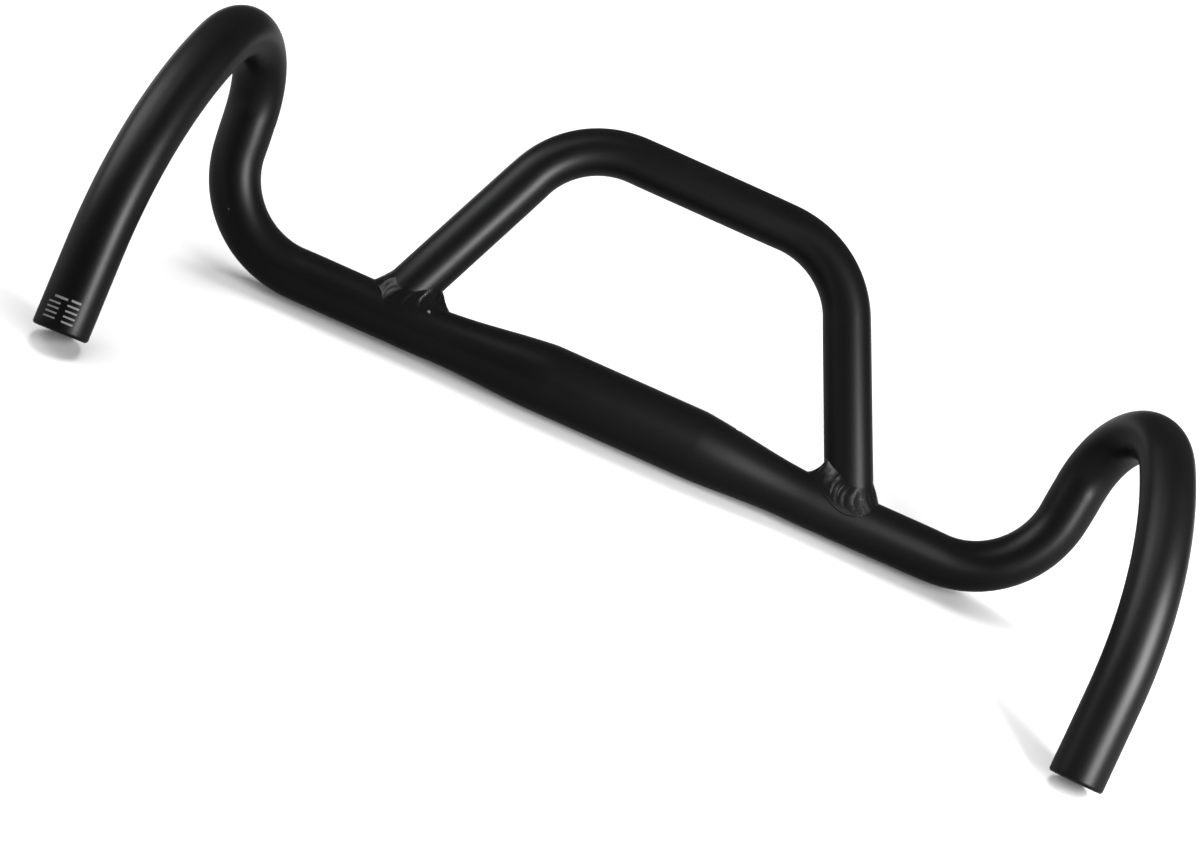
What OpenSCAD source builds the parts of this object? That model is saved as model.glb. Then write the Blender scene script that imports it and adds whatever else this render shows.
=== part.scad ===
// Drop handlebar with an accessory loop welded to its tops.
// It stands as it would on a table: the reach of the bar points up (+Z), the drops lie
// on the -Y side, and it rests on the two ends of the clamp bulge and on the two drop ends.
// The origin is the middle of the stem clamp, and X runs along the clamp.

/* [Clamp and tops] */
// Diameter of the bulge that the stem clamps
clamp_d = 31.8; // [28:0.1:35]
// Width of the cylindrical part of the bulge
clamp_w = 68; // [48:1:70]
// Wall thickness of the bulge
clamp_wall = 2.4; // [1.6:0.1:4]
// Length of the taper from the bulge down to the grip tube
taper_len = 56; // [44:1:60]
// Share of the taper's S-curve left off at the bulge, so that it narrows faster than it sweeps
taper_skip = 0.15; // [0.1:0.01:0.25]
// Backward sweep of each taper, in degrees
taper_sweep = 2.4; // [0.8:0.1:4]
// Bend radius at each end of the swept taper
sweep_r = 60; // [30:5:90]
// Distance from the middle of the bar to the start of each shoulder bend
tops_half = 158; // [146:1:220]

/* [Grip tube] */
// Outer diameter of the tube from the tapers to the drop ends
tube_d = 23.8; // [22.2:0.1:24.2]
// Wall thickness of that tube
tube_wall = 1.9; // [1.2:0.1:3]
// Rounding of the outer edge of the cut drop ends
end_round = 1.4; // [0.4:0.1:1.6]

/* [Shoulders, hooks and drops] */
// Bend radius of the shoulder, on the tube's axis
shoulder_r = 45; // [30:1:70]
// Angle turned at the shoulder, in degrees
shoulder_turn = 85; // [75:1:92]
// Straight length of the ramp between shoulder and hook
ramp_len = 15; // [5:1:50]
// Bend radius of the hook
hook_r = 36; // [30:1:55]
// Angle turned in the hook, in degrees
hook_turn = 126; // [112:1:135]
// Outward flare of the plane of the drop, in degrees
flare = 15; // [5:1:25]
// Bend radius of the drop below the hook
drop_r = 150; // [100:5:200]
// Angle turned along the drop, in degrees
drop_turn = 43; // [32:1:50]
// Straight length at the open end of the drop
end_len = 37; // [20:1:60]

/* [Accessory loop] */
// Outer diameter of the loop tube
loop_d = 22.2; // [19:0.1:22.4]
// Wall thickness of the loop tube
loop_wall = 1.6; // [1:0.1:2.5]
// Distance from the middle of the bar to the axis of each loop foot
loop_foot = 115; // [112:1:122]
// Distance from the axis of the tops to the axis of the loop's straight top
loop_depth = 112.5; // [90:0.5:130]
// Angle between each leg and the tops, in degrees
leg_angle = 67; // [60:1:75]
// Bend radius of the loop's two corners
loop_r = 45; // [30:1:55]
// Angle by which the loop stands away from the plane of the ramps, in degrees
loop_raise = 17.5; // [0:0.5:30]

/* [Welds] */
// Length of the bead along the bar, at the side of the leg
bead_on_bar = 6.2; // [5:0.1:7]
// How much further along the bar it runs in the crotch, and less far behind the leg
bar_crotch = 2.2; // [0:0.1:2.6]
// Length of the bead up the leg, at its side
bead_on_leg = 8; // [6:0.1:9]
// How much further up the leg it runs in the crotch, and less far behind the leg
leg_crotch = 0.4; // [0:0.1:1]
// How far the face of the bead stands out from the corner, as a share of a flat face
bead_fill = 0.62; // [0.45:0.01:0.9]
// Number of ripples round each foot
bead_ripples = 20; // [14:1:40]
// Height of one ripple
ripple_h = 0.8; // [0.2:0.05:1.1]

/* [Hidden] */

around = 96;
along = 240;
// Straight-sided bands that make up each taper's curve
taper_bands = 20;

// Turns are nudged, by less than a tenth of a degree, to an angle whose sine and cosine
// still make a unit turn at six figures, so that each step of a tube starts exactly where
// the last one ends
nudge = 0.00002;
nudges = 4000;
quarter_turn = 90;
function six_figures(x) =
  let (places = pow(10, 5 - floor(log(abs(x)))))
  round(x * places) / places;
function turn_error(a) = abs(norm([six_figures(cos(a)), six_figures(sin(a))]) - 1);
function exact_turn(a) =
  let (
    tries = [for (k = [-nudges : nudges]) a + k * nudge],
    errors = [for (t = tries) turn_error(t)]
  )
  tries[search(min(errors), errors)[0]];
sweep_a = exact_turn(taper_sweep);
shoulder_a = exact_turn(shoulder_turn);
hook_a = exact_turn(hook_turn);
drop_a = exact_turn(drop_turn);
hook_roll = exact_turn(quarter_turn + flare);
leg_a = exact_turn(leg_angle);

// How far a bend is turned past its end before it is cut square
bend_spare = 2;
// How far a bore is cut past an open end
bore_spare = 1;
// The toe of a bead stands this far proud of the tube, and its root reaches this deep
toe_proud = 0.18;
root_depth = 1.1;
// Stations along a bead for each ripple, and points across its face
ripple_steps = 6;
face_steps = 5;
// How far the ripples curve back at the edges of the bead, in ripples
ripple_curve = 0.45;

clamp_r = clamp_d / 2;
tube_r = tube_d / 2;
loop_tube_r = loop_d / 2;
clamp_bore_r = clamp_r - clamp_wall;
tube_bore_r = tube_r - tube_wall;
loop_bore_r = loop_tube_r - loop_wall;

// Each taper ends where two sweep bends and its own slant have brought it
sweep_drop = sweep_r * (1 - cos(sweep_a));
taper_end = clamp_w / 2 + taper_len * cos(sweep_a) + 2 * sweep_r * sin(sweep_a);
tops_back = taper_len * sin(sweep_a) + 2 * sweep_drop;

ripples = round(bead_ripples);
leg_len = (loop_depth - loop_r * (1 - cos(leg_a))) / sin(leg_a);
loop_top_len = 2 * (loop_foot - leg_len * cos(leg_a) - loop_r * sin(leg_a));

// A tube is a list of steps: [roll, bend radius, bend angle, length, outer radii, bore radii]
function run(len, outer, bore) = [0, 0, 0, len, outer, bore];
function bend(roll, r, turn, outer, bore) = [roll, r, turn, 0, outer, bore];
ROLL = 0;
BEND_R = 1;
TURN = 2;
LENGTH = 3;
OUTER = 4;
BORE = 5;

tops_steps = [
  bend(0, sweep_r, sweep_a, [clamp_r, clamp_r], [clamp_bore_r, clamp_bore_r]),
  run(taper_len, [clamp_r, tube_r], [clamp_bore_r, tube_bore_r]),
  bend(180, sweep_r, sweep_a, [tube_r, tube_r], [tube_bore_r, tube_bore_r]),
  run(tops_half - taper_end, [tube_r, tube_r], [tube_bore_r, tube_bore_r])
];
drop_steps = [
  bend(0, shoulder_r, shoulder_a, [tube_r, tube_r], [tube_bore_r, tube_bore_r]),
  run(ramp_len, [tube_r, tube_r], [tube_bore_r, tube_bore_r]),
  bend(hook_roll, hook_r, hook_a, [tube_r, tube_r], [tube_bore_r, tube_bore_r]),
  bend(0, drop_r, drop_a, [tube_r, tube_r], [tube_bore_r, tube_bore_r]),
  run(end_len - end_round, [tube_r, tube_r], [tube_bore_r, tube_bore_r])
];
loop_steps = [
  run(leg_len, [loop_tube_r, loop_tube_r], [loop_bore_r, loop_bore_r]),
  bend(180, loop_r, leg_a, [loop_tube_r, loop_tube_r], [loop_bore_r, loop_bore_r]),
  run(loop_top_len, [loop_tube_r, loop_tube_r], [loop_bore_r, loop_bore_r]),
  bend(0, loop_r, leg_a, [loop_tube_r, loop_tube_r], [loop_bore_r, loop_bore_r]),
  run(leg_len, [loop_tube_r, loop_tube_r], [loop_bore_r, loop_bore_r])
];

// The place and direction of the tube's axis after a number of steps
function shift_m(v) = [[1, 0, 0, v.x], [0, 1, 0, v.y], [0, 0, 1, v.z], [0, 0, 0, 1]];
function turn_z(a) = [[cos(a), -sin(a), 0, 0], [sin(a), cos(a), 0, 0], [0, 0, 1, 0], [0, 0, 0, 1]];
function turn_y(a) = [[cos(a), 0, sin(a), 0], [0, 1, 0, 0], [-sin(a), 0, cos(a), 0], [0, 0, 0, 1]];
function step_m(s) =
  turn_z(s[ROLL]) * (s[BEND_R] == 0
    ? shift_m([0, 0, s[LENGTH]])
    : shift_m([s[BEND_R], 0, 0]) * turn_y(s[TURN]) * shift_m([-s[BEND_R], 0, 0]));
function path_m(steps, i = 0) =
  i == len(steps) ? shift_m([0, 0, 0]) : step_m(steps[i]) * path_m(steps, i + 1);

// The bar leans back about its clamp until the far edges of the bulge's two sweep bends
// and both drop ends touch the table
lean_low = -60;
lean_high = 30;
lean_tries = 40;
end_m = shift_m([clamp_w / 2, 0, 0]) * turn_y(90) * path_m(concat(tops_steps, drop_steps));
end_at = [end_m[0][3], end_m[1][3], end_m[2][3]];
end_dir = [end_m[0][2], end_m[1][2], end_m[2][2]];
function leaned_z(v, a) = v.y * sin(a) + v.z * cos(a);
function ring_drop(r, rise) = r * sqrt(1 - pow(rise, 2));
function bulge_depth(a) = sweep_drop * cos(a) + ring_drop(clamp_r, sin(sweep_a) * cos(a));
function end_height(a) =
  leaned_z(end_at, a) - end_round
  - ring_drop(tube_r - end_round, leaned_z(end_dir, a)) + bulge_depth(a);
function settle(low, high, tries) =
  tries == 0
    ? (low + high) / 2
    : let (mid = (low + high) / 2)
      end_height(mid) > 0 ? settle(mid, high, tries - 1) : settle(low, mid, tries - 1);
lean = settle(lean_low, lean_high, lean_tries);

// One step of a tube, from its start at the origin along Z, bending towards X
module bend_solid(s, r) {
  over = bend_spare / s[BEND_R] * 180 / PI;
  difference() {
    translate([s[BEND_R], 0, 0])
      rotate([-90, 0, 0])
        rotate_extrude(angle = s[TURN] + over, start = 180, $fn = along)
          translate([s[BEND_R], 0])
            circle(r, $fn = around);
    after(s)
      translate([-r - 1, -r - 1, 0])
        cube([2 * r + 2, 2 * r + 2, 2 * bend_spare]);
  }
}

module run_solid(len, radii) {
  if (radii[0] == radii[1])
    cylinder(h = len, r = radii[0], $fn = around);
  else
    ogee_solid(len, radii[0], radii[1]);
}

// A taper whose side is an S-curve that ends along the tube
module ogee_solid(len, r0, r1) {
  full = 1 + cos(180 * taper_skip);
  side = [
    for (k = [0 : taper_bands])
      let (t = k / taper_bands, phase = taper_skip + (1 - taper_skip) * t)
      [r1 + (r0 - r1) * (1 + cos(180 * phase)) / full, len * t]
  ];
  rotate_extrude($fn = around)
    polygon(concat([[0, 0]], side, [[0, len]]));
}

// Moves its children to the end of a step
module after(s) {
  if (s[BEND_R] == 0)
    translate([0, 0, s[LENGTH]])
      children();
  else
    translate([s[BEND_R], 0, 0])
      rotate([0, s[TURN], 0])
        translate([-s[BEND_R], 0, 0])
          children();
}

// A solid round the whole of a tube's path, of its outer or its bore radii,
// with its children at the far end
module tube_path(steps, radii, i = 0) {
  if (i < len(steps))
    rotate([0, 0, steps[i][ROLL]]) {
      if (steps[i][BEND_R] == 0)
        run_solid(steps[i][LENGTH], steps[i][radii]);
      else
        bend_solid(steps[i], steps[i][radii][0]);
      after(steps[i])
        tube_path(steps, radii, i + 1)
          children();
    }
  else
    children();
}

// The eased edge of a cut tube end
module eased_end() {
  rotate_extrude($fn = around) {
    square([tube_r - end_round, end_round]);
    intersection() {
      square([tube_r, end_round]);
      translate([tube_r - end_round, 0])
        circle(end_round, $fn = 48);
    }
  }
}

module bar_frame() {
  rotate([lean, 0, 0])
    children();
}

module both_sides() {
  for (side = [0, 1])
    mirror([side, 0, 0])
      children();
}

module from_clamp() {
  translate([clamp_w / 2, 0, 0])
    rotate([0, 90, 0])
      children();
}

module loop_frame() {
  translate([0, 0, -tops_back])
    rotate([-loop_raise, 0, 0])
      children();
}

// Outer surface of the tops, which the loop and its welds sit on
module tops_outer() {
  from_clamp()
    tube_path(tops_steps, OUTER);
}

module loop_path(radii) {
  translate([loop_foot, 0, 0])
    rotate([0, leg_a - 90, 0])
      tube_path(loop_steps, radii);
}

module drop_bar() {
  color("#1b1b1c")
    bar_frame()
      difference() {
        union() {
          translate([-clamp_w / 2, 0, 0])
            rotate([0, 90, 0])
              cylinder(h = clamp_w, r = clamp_r, $fn = around);
          both_sides()
            from_clamp()
              tube_path(concat(tops_steps, drop_steps), OUTER)
                eased_end();
        }
        union() {
          translate([-clamp_w / 2, 0, 0])
            rotate([0, 90, 0])
              cylinder(h = clamp_w, r = clamp_bore_r, $fn = around);
          both_sides()
            from_clamp()
              tube_path(concat(tops_steps, drop_steps), BORE)
                cylinder(h = end_round + bore_spare, r = tube_bore_r, $fn = around);
        }
      }
}

module accessory_loop() {
  color("#1d1d1e")
    bar_frame()
      difference() {
        loop_frame()
          difference() {
            loop_path(OUTER);
            loop_path(BORE);
          }
        both_sides()
          tops_outer();
      }
}

// Geometry of a weld, in the loop's frame: the leg's axis runs from the foot, and phi goes
// round the leg from its outer side. Heights along the leg are measured from the foot.
function saddle_s(phi) =
  (sqrt(pow(tube_r, 2) - pow(loop_tube_r * sin(phi), 2)) - loop_tube_r * cos(phi) * cos(leg_a))
  / sin(leg_a);
function on_leg(phi, s, r) = [
  loop_foot - s * cos(leg_a) + r * cos(phi) * sin(leg_a),
  -r * sin(phi),
  s * sin(leg_a) + r * cos(phi) * cos(leg_a)
];
// The same corner unrolled from the tops: distance along the bar, and round it
function unrolled(phi) =
  let (p = on_leg(phi, saddle_s(phi), loop_tube_r))
  [p.x, tube_r * atan2(-p.y, p.z) * PI / 180];
function on_bar(q, r) =
  let (a = q.y / tube_r * 180 / PI)
  [q.x, -r * sin(a), r * cos(a)];
function outward(phi) =
  let (d = unrolled(phi + 1) - unrolled(phi - 1))
  [d.y, -d.x] / norm(d);

// The bead is longest in the crotch, where the leg leans over the bar
function bar_reach(phi) = bead_on_bar - bar_crotch * cos(phi);
function leg_reach(phi) = bead_on_leg - leg_crotch * cos(phi);
function bar_toe(phi, r) = on_bar(unrolled(phi) + bar_reach(phi) * outward(phi), r);
function leg_toe(phi, r) = on_leg(phi, saddle_s(phi) + leg_reach(phi), r);
function bead_corner(phi) = on_leg(phi, saddle_s(phi), loop_tube_r);
function bead_root(phi) =
  on_leg(phi, saddle_s(phi) - 2 * root_depth, loop_tube_r - 2 * root_depth);

// A ripple rises slowly and falls off sharply, like a row of overlapping coins
function ripple(turns) =
  let (t = turns - floor(turns))
  t < 0.75 ? sin(t / 0.75 * 90) : cos((t - 0.75) / 0.25 * 90);
function face_point(phi, t) =
  let (
    a = bar_toe(phi, tube_r + toe_proud),
    b = leg_toe(phi, loop_tube_r + toe_proud),
    corner = bead_corner(phi),
    out = (a + b) / 2 - corner,
    mid = corner + out * bead_fill,
    p = pow(1 - t, 2) * a + 2 * t * (1 - t) * mid + pow(t, 2) * b,
    swell = sin(180 * t),
    turns = phi / 360 * ripples + ripple_curve * swell
  )
  p + out / norm(out) * ripple_h * swell * ripple(turns);

module bead_solid() {
  stations = ripples * ripple_steps;
  ring = face_steps + 4;
  points = [
    for (i = [0 : stations - 1])
      let (phi = 360 * i / stations)
      each concat(
        [bead_root(phi), bar_toe(phi, tube_r - root_depth)],
        [for (k = [0 : face_steps]) face_point(phi, k / face_steps)],
        [leg_toe(phi, loop_tube_r - root_depth)]
      )
  ];
  faces = [
    for (i = [0 : stations - 1], k = [0 : ring - 1])
      let (
        here = i * ring,
        next = ((i + 1) % stations) * ring,
        up = (k + 1) % ring
      )
      each [[here + k, next + k, next + up], [here + k, next + up, here + up]]
  ];
  polyhedron(points, faces);
}

module weld_bead() {
  color("#232324")
    bar_frame()
      difference() {
        loop_frame()
          bead_solid();
        loop_frame()
          translate([loop_foot, 0, 0])
            rotate([0, leg_a - 90, 0])
              cylinder(h = leg_len, r = loop_tube_r, $fn = around);
        tops_outer();
      }
}

module weld_bead_right() {
  weld_bead();
}

module weld_bead_left() {
  mirror([1, 0, 0])
    weld_bead();
}

drop_bar();
accessory_loop();
weld_bead_left();
weld_bead_right();
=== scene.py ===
import math
import bpy
import numpy as np
from mathutils import Matrix


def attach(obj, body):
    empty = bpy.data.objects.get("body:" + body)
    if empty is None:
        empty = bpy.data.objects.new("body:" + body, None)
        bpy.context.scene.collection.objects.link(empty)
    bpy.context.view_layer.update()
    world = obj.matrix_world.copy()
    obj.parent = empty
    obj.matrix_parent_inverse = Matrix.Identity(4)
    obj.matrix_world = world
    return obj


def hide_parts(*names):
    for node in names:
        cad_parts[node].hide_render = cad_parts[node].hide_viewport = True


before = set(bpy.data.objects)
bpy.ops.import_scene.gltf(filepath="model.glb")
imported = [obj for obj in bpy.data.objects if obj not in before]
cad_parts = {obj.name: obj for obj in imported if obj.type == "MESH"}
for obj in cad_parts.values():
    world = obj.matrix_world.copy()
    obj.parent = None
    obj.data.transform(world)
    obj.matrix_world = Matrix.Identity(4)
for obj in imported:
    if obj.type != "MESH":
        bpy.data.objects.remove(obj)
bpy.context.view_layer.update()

# ---- sizes: those of part.scad, in millimetres and degrees

MM = 0.001
CLAMP_W, CLAMP_R, CLAMP_BORE = 68.0, 15.9, 13.5
TUBE_R, TUBE_BORE, END_ROUND = 11.9, 10.0, 1.4
TAPER, TAPER_SKIP = 56.0, 0.15
SWEEP_R, SWEEP = 60.0, 2.42292
TOPS_HALF = 158.0
SHOULDER_R, SHOULDER = 45.0, 85.0484
RAMP = 15.0
HOOK_ROLL, HOOK_R, HOOK = 105.053, 36.0, 125.96
DROP_R, DROP = 150.0, 43.0708
END_LEN = 37.0
LOOP_R, LOOP_BORE = 11.1, 9.5
FOOT_X, DEPTH, CORNER_R, LEG_A = 115.0, 112.5, 45.0, 66.9228
# how the bar leans as it stands, and how far the loop stands away from the ramps' plane, in radians
LEAN, RAISE = math.radians(-17.482), math.radians(17.5)

SWEEP_TURN, LEG_TURN = math.radians(SWEEP), math.radians(LEG_A)
TAPER_END = (CLAMP_W / 2 + TAPER * math.cos(SWEEP_TURN)
             + 2 * SWEEP_R * math.sin(SWEEP_TURN))
TOPS_BACK = (TAPER * math.sin(SWEEP_TURN)
             + 2 * SWEEP_R * (1 - math.cos(SWEEP_TURN)))
LEG = (DEPTH - CORNER_R * (1 - math.cos(LEG_TURN))) / math.sin(LEG_TURN)
TOP = 2 * (FOOT_X - LEG * math.cos(LEG_TURN) - CORNER_R * math.sin(LEG_TURN))

# points round the tubes, and how many rings at each end of the loop lead to its cut
BAR_AROUND, LOOP_AROUND, FOOT_RINGS = 88, 72, 16
# the share by which a bend narrows its tube, the drop's share of that, where the drop's begins
# past the start of its bend, and the length over which a squeeze comes in
BAR_SQUEEZE, LOOP_SQUEEZE, DROP_SHARE, DROP_AFTER, BLEND = 0.026, 0.016, 0.12, 4.0, 7.0
# a squeezed tube's radius changes round it by the first share and shrinks all round by the second
SQUEEZE_SWING, SQUEEZE_LOSS = 0.62, 0.38
# the lip of the open end: the turns of its outer rounding, and then how far back and how far
# over the bore's radius each ring lies; the last ones are past the paint
LIP_TURNS = (15, 30, 45, 60, 75, 90)
LIP_INNER = ((0.0, 0.42), (0.0, 0.3), (0.06, 0.12), (0.18, 0.02), (0.5, 0.0))
LIP_BARE = 3

# a bead: stations for each scale, points across its face, how far its scales curve back at its
# edges (in scales), where a scale has its crest, its lift, and how deep its hidden parts reach
SCALE_STEPS, FACE_POINTS = 18, 22
SCALE_CURVE, SCALE_CREST, SCALE_LIFT = 0.55, 0.66, 0.95
HIDDEN, ROOT_DEPTH = 0.6, 1.6


def rot_x(a):
    c, s = math.cos(a), math.sin(a)
    return np.array([[1, 0, 0], [0, c, -s], [0, s, c]])


def rot_y(a):
    c, s = math.cos(a), math.sin(a)
    return np.array([[c, 0, s], [0, 1, 0], [-s, 0, c]])


def rot_z(a):
    c, s = math.cos(a), math.sin(a)
    return np.array([[c, -s, 0], [s, c, 0], [0, 0, 1]])


STAND = rot_x(LEAN)


def on_tops(points):
    """From the loop's own plane to its place on the bar as it stands."""
    return (points @ rot_x(-RAISE).T + np.array([0, 0, -TOPS_BACK])) @ STAND.T


# ---- tubes

class Path:
    """Stations along a tube's axis. Each row is the place, a frame that doesn't roll, the
    distance from the start, 1 in a bend and 0 elsewhere, and the bends' roll so far."""

    def __init__(self, start, turn):
        self.p, self.f = np.array(start, float), turn.copy()
        self.rolled = 0.0
        self.rows = []
        self.s = 0.0
        self.add(0.0)

    def add(self, bend):
        self.rows.append((self.p.copy(), self.f @ rot_z(-self.rolled), self.s, bend, self.rolled))

    def run(self, length, step):
        """Straight on, with a station at each step."""
        n = max(1, int(round(length / step)))
        for _ in range(n):
            self.p = self.p + self.f[:, 2] * length / n
            self.s += length / n
            self.add(0.0)
        return self

    def bend(self, roll, radius, angle, step):
        """A bend in the plane that roll degrees turn to, with a station at each step."""
        self.f = self.f @ rot_z(math.radians(roll))
        self.rolled += math.radians(roll)
        self.rows[-1] = self.rows[-1][:3] + (0.0, self.rolled)
        total = math.radians(angle)
        n = max(2, int(round(total * radius / step)))
        centre = self.p + self.f[:, 0] * radius
        for k in range(1, n + 1):
            g = self.f @ rot_y(total * k / n)
            self.rows.append((centre - g[:, 0] * radius, g @ rot_z(-self.rolled),
                              self.s + total * radius * k / n, 1.0, self.rolled))
        self.f = self.f @ rot_y(total)
        self.p = centre - self.f[:, 0] * radius
        self.s += total * radius
        return self

    def arrays(self):
        return [np.array(column) for column in zip(*self.rows)]


def smoothed(s, flag, reach):
    """A bend's squeeze comes in over a short way at each end."""
    out = np.zeros(len(s))
    ds = np.gradient(s)
    for i in range(len(s)):
        w = np.exp(-((s - s[i]) / reach) ** 2)
        out[i] = (w * flag * ds).sum() / (w * ds).sum()
    return out


def skin(name, rings, flip=False):
    """A closed mesh from rings of points, [station, point, xyz] in millimetres."""
    n, m = rings.shape[:2]
    i = np.arange(n)[:, None]
    k = np.arange(m)[None, :]
    a, b = i * m + k, i * m + (k + 1) % m
    c, d = ((i + 1) % n) * m + (k + 1) % m, ((i + 1) % n) * m + k
    quads = np.stack([d, c, b, a] if flip else [a, b, c, d], -1).reshape(-1, 4)
    mesh = bpy.data.meshes.new(name)
    mesh.from_pydata((rings.reshape(-1, 3) * MM).tolist(), [], quads.tolist())
    mesh.validate()
    mesh.polygons.foreach_set("use_smooth", [True] * len(mesh.polygons))
    mesh.update()
    obj = bpy.data.objects.new(name, mesh)
    bpy.context.scene.collection.objects.link(obj)
    return obj


def ring(p, f, radius, squeeze, rolled, count):
    """A ring round each station, narrower in the bend's plane and wider across it."""
    t = np.linspace(0, 2 * np.pi, count, endpoint=False)
    swing = np.cos(2 * (t[None, :] - rolled[:, None]))
    r = radius[:, None] * (1 + squeeze[:, None] * (-SQUEEZE_SWING * swing - SQUEEZE_LOSS))
    x, y = f[:, None, :, 0], f[:, None, :, 1]
    return p[:, None, :] + r[..., None] * (np.cos(t)[None, :, None] * x + np.sin(t)[None, :, None] * y)


# ---- the bar: the right half's path, from the middle outwards

path = Path([0, 0, 0], rot_y(math.pi / 2))
path.run(CLAMP_W / 2, 2.0)
path.bend(0, SWEEP_R, SWEEP, 1.2).run(TAPER, 1.6).bend(180, SWEEP_R, SWEEP, 1.2)
path.run(TOPS_HALF - TAPER_END, 2.0)
hard_from = len(path.rows)
path.bend(0, SHOULDER_R, SHOULDER, 1.6).run(RAMP, 1.8)
path.bend(HOOK_ROLL, HOOK_R, HOOK, 1.4).bend(0, DROP_R, DROP, 2.2)
path.run(END_LEN - END_ROUND, 2.2)
P, F, S, B, ROLL = path.arrays()

squeeze = B.copy()
squeeze[:hard_from] = 0
drop_from = S[-1] - END_LEN + END_ROUND - DROP_R * math.radians(DROP)
squeeze[S > drop_from + DROP_AFTER] = DROP_SHARE
squeeze = smoothed(S, squeeze, BLEND) * BAR_SQUEEZE
taper_from = CLAMP_W / 2 + SWEEP_R * SWEEP_TURN
phase = TAPER_SKIP + (1 - TAPER_SKIP) * np.clip((S - taper_from) / TAPER, 0, 1)
ease = 1 - (1 + np.cos(np.pi * phase)) / (1 + math.cos(math.pi * TAPER_SKIP))
outer = CLAMP_R + (TUBE_R - CLAMP_R) * ease
bore = CLAMP_BORE + (TUBE_BORE - CLAMP_BORE) * ease

lip = [(END_ROUND * math.sin(a), TUBE_R - END_ROUND + END_ROUND * math.cos(a))
       for a in np.radians(LIP_TURNS)]
lip += [(END_ROUND - back, TUBE_BORE + over) for back, over in LIP_INNER]
z, r = np.array(lip).T
round_lip = np.zeros(len(lip))
out_rings = ring(P, F, outer, squeeze, ROLL, BAR_AROUND)
lip_rings = ring(P[-1] + z[:, None] * F[-1][:, 2], np.repeat(F[-1][None], len(lip), 0),
                 r, round_lip, round_lip, BAR_AROUND)
# the bore takes every second station, and the middle one
kept = list(range(len(P) - 1, 0, -2)) + [0]
in_rings = ring(P[kept], F[kept], bore[kept], squeeze[kept], ROLL[kept], BAR_AROUND)
right = np.concatenate([out_rings, lip_rings, in_rings])
left = right.copy()
left[..., 0] *= -1
# the middle rings are shared: outer right, lip, bore right, bore left, lip, outer left
whole = np.concatenate([right, left[::-1][1:-1]]) @ STAND.T
bar = skin("handlebar_tube", whole)

# the bar's points inside the rim have bare metal
bare = np.zeros(len(whole))
bare_from, middle = len(out_rings) + len(lip) - LIP_BARE, len(right) - 1
bare[bare_from:2 * middle - bare_from + 1] = 1.0
bar.data.attributes.new("bore", "FLOAT", "POINT").data.foreach_set("value", np.repeat(bare, BAR_AROUND))

# ---- the loop: from the right foot to the left one

loop_path = Path([FOOT_X, 0, 0], rot_y(LEG_TURN - math.pi / 2))
loop_path.run(LEG, 2.0).bend(180, CORNER_R, LEG_A, 1.6).run(TOP, 2.0)
loop_path.bend(0, CORNER_R, LEG_A, 1.6).run(LEG, 2.0)
LP, LF, LS, LB, LROLL = loop_path.arrays()
loop_squeeze = smoothed(LS, LB, BLEND) * LOOP_SQUEEZE


def loop_skin(radius):
    """The loop's rings at one radius. Those near each foot lean over to end on the bar's surface."""
    rings = ring(LP, LF, np.full(len(LP), radius), loop_squeeze, LROLL, LOOP_AROUND)
    t = np.linspace(0, 2 * np.pi, LOOP_AROUND, endpoint=False)[:, None]
    for end, sign in ((0, 1), (-1, -1)):
        p, f = LP[end], LF[end]
        line = p + radius * (np.cos(t) * f[:, 0] + np.sin(t) * f[:, 1])
        # how far along the leg the bar's surface lies, by the quadratic of a line and a cylinder
        d = f[:, 2] * sign
        qa = d[1] ** 2 + d[2] ** 2
        qb = line[:, 1] * d[1] + line[:, 2] * d[2]
        qc = line[:, 1] ** 2 + line[:, 2] ** 2 - TUBE_R ** 2
        cut = (-qb + np.sqrt(qb * qb - qa * qc)) / qa
        near = np.arange(len(LP))[::sign][:FOOT_RINGS]
        far = np.linalg.norm(LP[near[-1]] - p)
        for j, i in enumerate(near):
            along = cut + (far - cut) * (j / (FOOT_RINGS - 1))
            rings[i] = line + along[:, None] * d
    return rings


loop = skin("loop_tube", on_tops(np.concatenate([loop_skin(LOOP_R), loop_skin(LOOP_BORE)[::-1]])))


# ---- the welds round the loop's feet; a is the turn round the leg, 0 on the side away from the crotch

def on_leg(a, s, r):
    """A point s up the right leg and r from its axis."""
    cos_l, sin_l = math.cos(LEG_TURN), math.sin(LEG_TURN)
    return np.stack([FOOT_X - s * cos_l + r * np.cos(a) * sin_l, -r * np.sin(a),
                     s * sin_l + r * np.cos(a) * cos_l], -1)


def foot_s(a):
    """How far up the leg its surface meets the bar's."""
    bar_z = np.sqrt(TUBE_R ** 2 - (LOOP_R * np.sin(a)) ** 2)
    return (bar_z - LOOP_R * np.cos(a) * math.cos(LEG_TURN)) / math.sin(LEG_TURN)


def unrolled(a):
    """The foot's edge on the bar's surface, rolled out flat."""
    q = on_leg(a, foot_s(a), LOOP_R)
    return np.stack([q[..., 0], TUBE_R * np.arctan2(-q[..., 1], q[..., 2])], -1)


def on_bar(q):
    """From the flat back onto the bar."""
    a = q[..., 1] / TUBE_R
    return np.stack([q[..., 0], -TUBE_R * np.sin(a), TUBE_R * np.cos(a)], -1)


def outward(a, reach=0.02):
    d = unrolled(a + reach) - unrolled(a - reach)
    return np.stack([d[..., 1], -d[..., 0]], -1) / np.linalg.norm(d, axis=-1)[..., None]


def unit(v):
    return v / np.linalg.norm(v, axis=1)[:, None]


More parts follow.
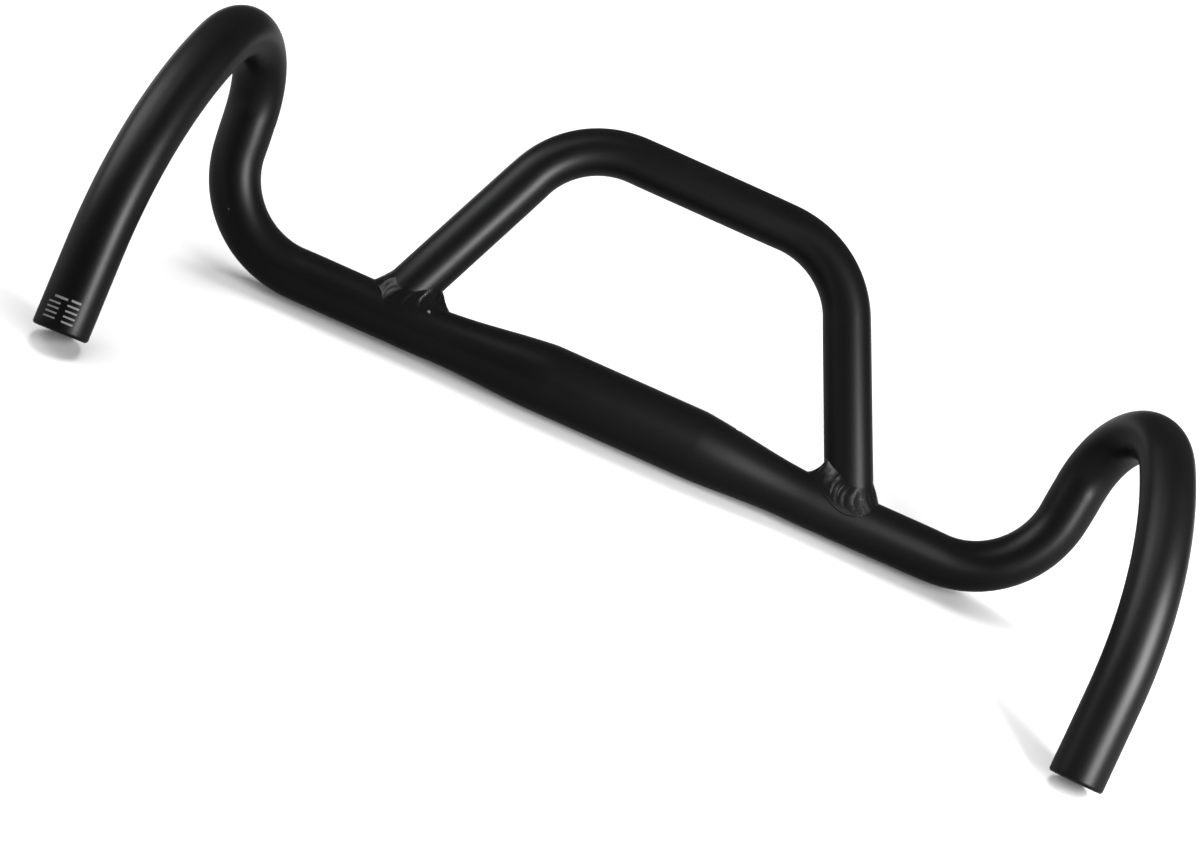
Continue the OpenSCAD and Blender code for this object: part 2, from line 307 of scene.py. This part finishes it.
def weld(name, mirrored, ripples, seed, reach, leg, fill, strong):
    """A bead with rippled scales. reach and leg say how far it runs along the bar and up the leg:
    all round, more in the crotch, and less on the side towards the camera. fill is how full its
    face is all round, and less in the crotch. strong lists the scales that stand out, as turns
    round the leg, each with its height."""
    rg = np.random.default_rng(seed)
    phi = np.linspace(0, 2 * np.pi, ripples * SCALE_STEPS, endpoint=False)

    def noise(scale, amp, waves=13):
        k = np.arange(1, waves + 1)
        start = rg.uniform(0, 2 * np.pi, waves)
        w = rg.normal(0, 1, waves) * np.exp(-((k - scale) / (0.5 * scale)) ** 2)
        return amp * (w[None, :] * np.sin(k[None, :] * phi[:, None] + start[None, :])).sum(1)

    cos_phi = np.cos(phi)
    near = np.maximum(np.sin(phi), 0) ** 2
    bar_reach = reach[0] - reach[1] * cos_phi - reach[2] * near + noise(6, 0.28)
    leg_reach = leg[0] - leg[1] * cos_phi - leg[2] * near + noise(7, 0.3)
    bar_toe = on_bar(unrolled(phi) + bar_reach[:, None] * outward(phi))
    leg_toe = on_leg(phi, foot_s(phi) + leg_reach, LOOP_R)
    corner = on_leg(phi, foot_s(phi), LOOP_R)
    out = (bar_toe + leg_toe) / 2 - corner
    mid = corner + out * (fill[0] + fill[1] * cos_phi + noise(5, 0.03))[:, None]

    # the scales have an uneven pitch, and each one a slow flank and a sharp one
    edges = np.sort((np.arange(ripples) + rg.uniform(-0.22, 0.22, ripples)) / ripples)
    height = rg.uniform(0.35, 0.8, ripples)
    for turn, rise in strong:
        k = np.argmin(np.abs(edges - turn))
        edges[k], height[k] = turn, rise
    t = np.linspace(0, 1, FACE_POINTS)
    swell = np.sin(np.pi * t) ** 1.1
    curve = (1 if mirrored else -1) * SCALE_CURVE * (swell[None, :] - 0.5) / ripples
    turns = (phi[:, None] / (2 * np.pi) + curve) % 1.0
    k = (np.searchsorted(edges, turns, side="right") - 1) % ripples
    span = (np.roll(edges, -1) - edges) % 1.0
    u = ((turns - edges[k]) % 1.0) / span[k]
    if not mirrored:
        u = 1 - u
    crest = height[k] * np.where(u < SCALE_CREST, np.sin(u / SCALE_CREST * np.pi / 2),
                                 np.cos((u - SCALE_CREST) / (1 - SCALE_CREST) * np.pi / 2))

    t = t[None, :, None]
    face = (1 - t) ** 2 * bar_toe[:, None] + 2 * t * (1 - t) * mid[:, None] + t ** 2 * leg_toe[:, None]
    face = face + (SCALE_LIFT * crest * swell[None, :])[..., None] * unit(out)[:, None]
    # the face runs straight on under both tubes, so that each toe is a clean line
    under_bar = bar_toe - HIDDEN * unit(mid - bar_toe)
    under_leg = leg_toe - HIDDEN * unit(mid - leg_toe)
    root = on_leg(phi, foot_s(phi) - ROOT_DEPTH, LOOP_R - ROOT_DEPTH)
    rings = np.concatenate([root[:, None], under_bar[:, None], face, under_leg[:, None]], 1)
    if mirrored:
        rings[..., 0] *= -1
    return skin(name, on_tops(rings), flip=mirrored)


weld_r = weld("weld_right", mirrored=False, ripples=21, seed=3,
              reach=(6.2, 3.4, 1.4), leg=(8.9, 0.2, 0.2), fill=(0.66, 0.14),
              strong=((0.191, 0.4), (0.233, 1.35), (0.275, 1.3), (0.311, 1.5),
                      (0.350, 0.3), (0.40, 0.5), (0.45, 0.55), (0.50, 0.35)))
weld_l = weld("weld_left", mirrored=True, ripples=20, seed=8,
              reach=(6.4, 3.8, 3.1), leg=(8.0, 0.4, 0.0), fill=(0.70, -0.10),
              strong=((0.42, 1.1), (0.36, 0.5), (0.3, 0.9), (0.2, 1.0), (0.15, 0.9), (0.1, 1.0)))


# ---- materials

class Graph:
    """The nodes of one material. A value is a plain one or another node's socket."""

    def __init__(self, name):
        self.material = bpy.data.materials.new(name)
        self.material.use_nodes = True
        self.tree = self.material.node_tree
        self.tree.nodes.clear()
        self.surface = self.node("OutputMaterial").inputs[0]
        self.where = self.node("TexCoord").outputs["Object"]

    def node(self, kind, **settings):
        node = self.tree.nodes.new("ShaderNode" + kind)
        for key, value in settings.items():
            setattr(node, key, value)
        return node

    def feed(self, socket, value):
        if isinstance(value, bpy.types.NodeSocket):
            self.tree.links.new(value, socket)
        else:
            socket.default_value = value

    def math(self, operation, a, b=0.0):
        node = self.node("Math", operation=operation)
        self.feed(node.inputs[0], a)
        self.feed(node.inputs[1], b)
        return node.outputs[0]

    def vector(self, operation, a, b=(0, 0, 0), result="Value"):
        node = self.node("VectorMath", operation=operation)
        self.feed(node.inputs[0], a)
        self.feed(node.inputs[1], b)
        return node.outputs[result]

    def noise(self, scale, detail, rough=0.5):
        node = self.node("TexNoise")
        for socket, value in (("Scale", scale), ("Detail", detail), ("Roughness", rough),
                              ("Vector", self.where)):
            self.feed(node.inputs[socket], value)
        return node.outputs["Fac"]

    def jitter(self, scale, detail, amount):
        """Noise to both sides of zero."""
        return self.math("MULTIPLY", self.math("SUBTRACT", self.noise(scale, detail), 0.5), amount)

    def ramp(self, source, *stops):
        """Two grey stops, each a position and a value."""
        node = self.node("ValToRGB")
        for element, (position, value) in zip(node.color_ramp.elements, stops):
            element.position, element.color = position, (value, value, value, 1)
        self.feed(node.inputs[0], source)
        return node.outputs[0]

    def mix(self, mask, under, over, **settings):
        node = self.node("Mix", data_type="RGBA", **settings)
        for socket, value in (("Factor", mask), ("A", under), ("B", over)):
            self.feed(node.inputs[socket], value)
        return node.outputs["Result"]


def bare_grey(shade):
    return (shade, shade, shade * 1.02, 1)


def tick_mask(g):
    """Plain tick marks in two columns near the left drop end: no text and no numbers."""
    end = (-0.227408, -0.128301, -0.010821)
    axis = (0.0355, -0.47036, -0.88176)
    facing = (0.13885, -0.87144, 0.47045)
    side = (-0.98968, -0.13913, 0.03437)
    from_end = g.vector("SUBTRACT", g.where, end, result="Vector")
    out_of_tube, to_facing, to_side = (g.vector("DOT_PRODUCT", from_end, way)
                                       for way in (axis, facing, side))
    depth = g.math("ADD", g.math("MULTIPLY", out_of_tube, -1.0), g.jitter(2600, 1, 0.00022))
    turn = g.math("ARCTAN2", to_side, to_facing)
    marks = 0.0
    # each column: the first tick's depth, the pitch, how many ticks, a tick's share of the
    # pitch, and the turns in degrees between which they lie
    for first, pitch, count, share, low, high in (
        (0.0043, 0.0021, 4, 0.34, 20, 48),
        (0.0130, 0.0021, 1, 0.46, 9, 38),
        (0.0041, 0.0023, 4, 0.34, -18, 6),
        (0.0133, 0.0021, 1, 0.46, -18, 2),
    ):
        steps = g.math("DIVIDE", g.math("SUBTRACT", depth, first), pitch)
        on = g.math("LESS_THAN", g.math("FRACT", steps), share)
        for test, value, limit in (("GREATER_THAN", steps, 0.0),
                                   ("LESS_THAN", steps, count),
                                   ("GREATER_THAN", turn, math.radians(low)),
                                   ("LESS_THAN", turn, math.radians(high))):
            on = g.math("MULTIPLY", on, g.math(test, value, limit))
        marks = g.math("MAXIMUM", marks, on)
    return marks


def satin_black(name, tone, rough, chips=(), ticks=False, bore=False, weldy=False):
    """Satin black paint. Each chip is its place in metres, its size and the metal's shade."""
    g = Graph(name)
    specular, grit, grit_depth = (0.3, 0.6, 0.00012) if weldy else (0.2, 0.35, 0.00005)
    bsdf = g.node("BsdfPrincipled")
    g.feed(g.surface, bsdf.outputs[0])
    g.feed(bsdf.inputs["Specular IOR Level"], specular)

    # paint tone: broad cloudiness and a fine pigment speckle
    cloud = g.ramp(g.noise(28, 3), (0.3, tone * 0.78), (0.72, tone * 1.25))
    speck = g.ramp(g.noise(1900, 1), (0.35, 0.86), (0.7, 1.2))
    base = g.mix(1.0, cloud, speck, blend_type="MULTIPLY")
    # bare metal where the paint is chipped
    for spot, size, shade in chips:
        ragged = g.math("ADD", g.vector("DISTANCE", g.where, spot), g.jitter(1500, 2, size * 0.9))
        base = g.mix(g.math("LESS_THAN", ragged, size), base, bare_grey(shade))
    if ticks:
        base = g.mix(tick_mask(g), base, bare_grey(0.19))
    if bore:
        # the paint's ragged edge at the rim, and bare metal inside it
        inside = g.node("Attribute", attribute_name="bore").outputs["Fac"]
        unpainted = g.ramp(g.math("ADD", inside, g.jitter(420, 3, 0.5)), (0.42, 0.0), (0.58, 1.0))
        base = g.mix(unpainted, base, g.ramp(g.noise(240, 4), (0.3, 0.20), (0.7, 0.34)))
        g.feed(bsdf.inputs["Metallic"], unpainted)
    g.feed(bsdf.inputs["Base Color"], base)

    # sheen varies where hands have rubbed it
    rub = g.ramp(g.noise(14, 4, 0.6), (0.3, rough - 0.015), (0.7, rough + 0.02))
    g.feed(bsdf.inputs["Roughness"], g.math("ADD", rub, g.jitter(900, 2, 0.03)))
    # the skin of the paint: orange peel, and for welds the oxide's grit
    peel = g.math("ADD", g.noise(620, 2), g.math("MULTIPLY", g.noise(2400, 1), 0.25))
    bump = g.node("Bump")
    for socket, value in (("Strength", grit), ("Distance", grit_depth), ("Height", peel)):
        g.feed(bump.inputs[socket], value)
    g.feed(bsdf.inputs["Normal"], bump.outputs[0])
    return g.material


# a fleck on the left bead's toe, which lies partly on the bar
TOE_FLECK = ((-0.09635, -0.00510, 0.00890), 0.0007, 0.1)
TUBE_TONE, TUBE_ROUGH, WELD_TONE, WELD_ROUGH = 0.0016, 0.39, 0.0018, 0.27
bar_mat = satin_black("satin_black_bar", TUBE_TONE, TUBE_ROUGH, ticks=True, bore=True, chips=(
    TOE_FLECK,
    ((0.05226, 0.00430, 0.01360), 0.0010, 0.6),
    ((-0.19560, -0.00710, 0.01590), 0.00045, 0.06),
    ((-0.23262, -0.12060, -0.01530), 0.0012, 0.3),
))
loop_mat = satin_black("satin_black_loop", TUBE_TONE, TUBE_ROUGH)
weld_mat = satin_black("satin_black_weld", WELD_TONE, WELD_ROUGH, weldy=True, chips=(TOE_FLECK,))
for obj, mat, node, slot in (
    (bar, bar_mat, "drop_bar", "bar_black"),
    (loop, loop_mat, "accessory_loop", "loop_black"),
    (weld_r, weld_mat, "weld_bead_right", "weld_black"),
    (weld_l, weld_mat, "weld_bead_left", "weld_black"),
):
    obj.data.materials.append(mat)
    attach(obj, "root")
    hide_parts(node)


# ---- floor

FLOOR_Z, FLOOR_HALF = -0.015938, 6.0
corners = [(x * FLOOR_HALF, y * FLOOR_HALF, FLOOR_Z) for x, y in ((-1, -1), (1, -1), (1, 1), (-1, 1))]
mesh = bpy.data.meshes.new("floor")
mesh.from_pydata(corners, [], [(0, 1, 2, 3)])
floor = bpy.data.objects.new("floor", mesh)
bpy.context.scene.collection.objects.link(floor)

g = Graph("floor_white")
rays = g.node("LightPath").outputs
board = g.node("BsdfDiffuse")
g.feed(board.inputs["Color"], g.mix(rays["Is Camera Ray"], (0.14, 0.14, 0.14, 1), (0.5, 0.5, 0.5, 1)))
# white for the camera and in reflections, fading in away from the part so that its shadow stays
fade = g.node("MapRange", interpolation_type="SMOOTHSTEP")
for socket, value in (("Value", g.vector("LENGTH", g.where)), ("From Min", 0.3), ("From Max", 0.75),
                      ("To Min", 0.06), ("To Max", 1.0)):
    g.feed(fade.inputs[socket], value)
seen = 0.0
for ray in ("Is Camera Ray", "Is Glossy Ray", "Is Transmission Ray"):
    seen = g.math("MAXIMUM", seen, rays[ray])
glow = g.node("Emission")
g.feed(glow.inputs["Strength"], g.math("MULTIPLY", seen, fade.outputs["Result"]))
lit = g.node("AddShader")
g.feed(lit.inputs[0], board.outputs[0])
g.feed(lit.inputs[1], glow.outputs[0])
g.feed(g.surface, lit.outputs[0])
floor.data.materials.append(g.material)


# ---- light and camera

world = bpy.data.worlds.new("studio")
bpy.context.scene.world = world
world.use_nodes = True
background = world.node_tree.nodes["Background"]
background.inputs["Color"].default_value = (1, 1, 1, 1)
background.inputs["Strength"].default_value = 0.14


def put(name, data, right, up, back, place):
    """A lamp or camera that looks against back."""
    obj = bpy.data.objects.new(name, data)
    m = np.eye(4)
    m[:3] = np.stack([right, up, back, place], 1)
    obj.matrix_world = Matrix(m.tolist())
    bpy.context.scene.collection.objects.link(obj)
    return obj


def softbox(name, azimuth, elevation, distance, size, radiance, tilt=0.0):
    """A rectangular lamp that faces the part. Azimuth 0 is +Y and 90 is +X; radiance is what a
    mirror would see."""
    a, e, roll = math.radians(azimuth), math.radians(elevation), math.radians(tilt)
    back = np.array([math.sin(a) * math.cos(e), math.cos(a) * math.cos(e), math.sin(e)])
    side = np.cross([0, 0, 1], back)
    side /= np.linalg.norm(side)
    up = np.cross(back, side)
    c, s = math.cos(roll), math.sin(roll)
    data = bpy.data.lights.new(name, "AREA")
    data.shape = "RECTANGLE"
    data.size, data.size_y = size
    data.energy = radiance * math.pi * size[0] * size[1]
    return put(name, data, c * side + s * up, -s * side + c * up, back, back * distance)


softbox("key", azimuth=127.5, elevation=26.5, distance=0.70, size=(0.25, 0.41), radiance=34.0, tilt=-35)
softbox("fill_left", azimuth=-90.9, elevation=32.4, distance=1.44, size=(0.72, 0.93), radiance=5.9, tilt=-21)
softbox("fill_front", azimuth=-107.6, elevation=63.5, distance=1.50, size=(0.48, 0.51), radiance=3.2, tilt=-11)
top = softbox("top", azimuth=-15, elevation=68, distance=2.4, size=(1.6, 1.6), radiance=12.0)
top.visible_glossy = False

# the photo's camera, from the fit to its outline
cam = bpy.data.cameras.new("camera")
cam.lens, cam.sensor_width, cam.sensor_fit = 80.9769, 36.0, "HORIZONTAL"
cam.shift_x, cam.shift_y = 0.021707, -0.041739
cam.clip_start, cam.clip_end = 0.05, 30
bpy.context.scene.camera = put("camera", cam,
                               right=(0.912833, 0.135721, 0.385117),
                               up=(-0.406425, 0.393044, 0.824824),
                               back=(-0.039422, -0.909448, 0.413945),
                               place=(-0.072379, -1.103128, 0.507072))
bpy.context.scene.view_settings.view_transform = "Standard"
